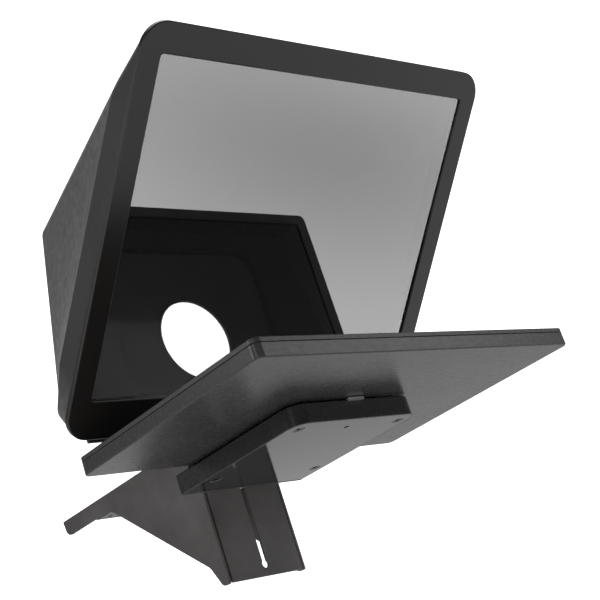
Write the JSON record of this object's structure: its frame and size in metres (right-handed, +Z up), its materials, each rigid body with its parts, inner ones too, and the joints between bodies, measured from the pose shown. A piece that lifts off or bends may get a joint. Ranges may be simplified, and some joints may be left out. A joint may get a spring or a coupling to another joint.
{
  "type": "teleprompter",
  "caption": "Through-the-lens teleprompter: face-up monitor below a leaning beam-splitter glass with a closed hood, on a slotted bracket with a camera deck.",
  "frame": {"origin": "centre of the tripod plate's lower face, at the mouth of its 3/8 inch thread, on the plane of symmetry", "axes": "-Y towards the talent, +Y towards the camera operator, +Z up, +X to the right of a viewer on the talent side facing the glass"},
  "size_m": [0.472, 0.5906, 0.4515],
  "materials": {
    "bracket_paint": "fine textured black powder coat on steel sheet",
    "tripod_metal": "black anodised",
    "black_screw": "black oxide",
    "steel_screw": "zinc plated",
    "hood_plastic": "satin moulded, fine grain",
    "lens_plate_black": "flat black",
    "frame_black": "satin black anodised",
    "rubber_black": "matt",
    "clip_steel": "dark plated sheet",
    "beam_splitter": "part-silvered, clear",
    "monitor_case": "dark anodised, faintly brushed",
    "bezel_black": "dark satin",
    "screen_panel": "glossy black, switched off",
    "box_paint": "satin black",
    "box_gloss": "polished black",
    "sensor_dark": "dark infrared window",
    "board_green": "solder mask",
    "ribbon_grey": "flat ribbon",
    "connector_metal": "nickel plated",
    "connector_black": "matt",
    "key_plastic": "satin",
    "knob_plastic": "fine grain",
    "slide_plastic": "acetal, natural"
  },
  "bodies": {
    "bracket": {"beam_splitter_glass": "beam_splitter", "bracket_deck": "bracket_paint", "corner_angles": "bracket_paint", "frame_screws": "black_screw", "frame_seal": "rubber_black", "front_panel": "bracket_paint", "glass_frame": "frame_black", "glass_gasket": "rubber_black", "glass_retainers": "clip_steel", "hood_mount_rail": "bracket_paint", "hood_screws": "black_screw", "hood_shell": "hood_plastic", "lens_plate": "lens_plate_black", "lens_plate_screws": "black_screw", "rail_screws": "black_screw", "retainer_screws": "black_screw", "side_plate_left": "bracket_paint", "side_plate_right": "bracket_paint", "tripod_plate": "tripod_metal", "tripod_plate_screws": "black_screw", "tripod_plate_spacers": "tripod_metal"},
    "monitor_carriage": {"monitor_bezel": "bezel_black", "lcd_panel": "screen_panel", "monitor_back_shell": "monitor_case", "panel_supports": "rubber_black", "display_board": "board_green", "display_cable": "ribbon_grey", "box_housing": "box_paint", "box_bottom_cover": "box_gloss", "cover_screws": "black_screw", "control_board": "board_green", "board_screws": "steel_screw", "vesa_plate": "clip_steel", "vesa_screws": "steel_screw", "sensor_window": "sensor_dark", "bnc_jacks": "connector_metal", "hdmi_socket": "connector_metal", "dc_inlet": "connector_black", "hanger_bracket": "bracket_paint", "hanger_screws": "steel_screw", "slide_guides": "slide_plastic", "slide_pads": "slide_plastic", "clamp_bolt": "steel_screw", "clamp_washer": "steel_screw"},
    "clamp_knob": {"clamp_knob": "knob_plastic"},
    "power_button": {"power_button": "key_plastic"},
    "menu_key": {"menu_key": "key_plastic"},
    "select_key": {"select_key": "key_plastic"},
    "camera_carrier": {"camera_plate": "tripod_metal", "camera_pad": "rubber_black", "camera_plate_stud": "steel_screw", "camera_plate_guide": "steel_screw", "camera_washer": "steel_screw"},
    "camera_knob": {"camera_knob": "knob_plastic"},
    "camera_screw": {"camera_screw": "steel_screw"}
  },
  "joints": [
    {"name": "monitor_height", "type": "slide", "parent": "bracket", "child": "monitor_carriage", "axis": [0, 0, 1], "range_m": [-0.085, 0.008]},
    {"name": "clamp_knob_turn", "type": "hinge", "parent": "monitor_carriage", "child": "clamp_knob", "pos_m": [0, -0.155, -0.009], "axis": [0, 1, 0], "range_deg": [0, 360]},
    {"name": "power_press", "type": "slide", "parent": "monitor_carriage", "child": "power_button", "axis": [-1, 0, 0], "range_m": [0, 0.001], "stiffness_N_per_m": 900},
    {"name": "menu_press", "type": "slide", "parent": "monitor_carriage", "child": "menu_key", "axis": [-1, 0, 0], "range_m": [0, 0.0008], "stiffness_N_per_m": 900},
    {"name": "select_press", "type": "slide", "parent": "monitor_carriage", "child": "select_key", "axis": [-1, 0, 0], "range_m": [0, 0.0008], "stiffness_N_per_m": 900},
    {"name": "camera_fore_aft", "type": "slide", "parent": "bracket", "child": "camera_carrier", "axis": [0, 1, 0], "range_m": [-0.025, 0.06]},
    {"name": "camera_knob_turn", "type": "hinge", "parent": "camera_carrier", "child": "camera_knob", "pos_m": [0, -0.06, 0.012], "axis": [0, 0, -1], "range_deg": [0, 360]},
    {"name": "camera_screw_turn", "type": "hinge", "parent": "camera_carrier", "child": "camera_screw", "pos_m": [0, -0.018, 0.025], "axis": [0, 0, 1], "continuous": true}
  ]
}
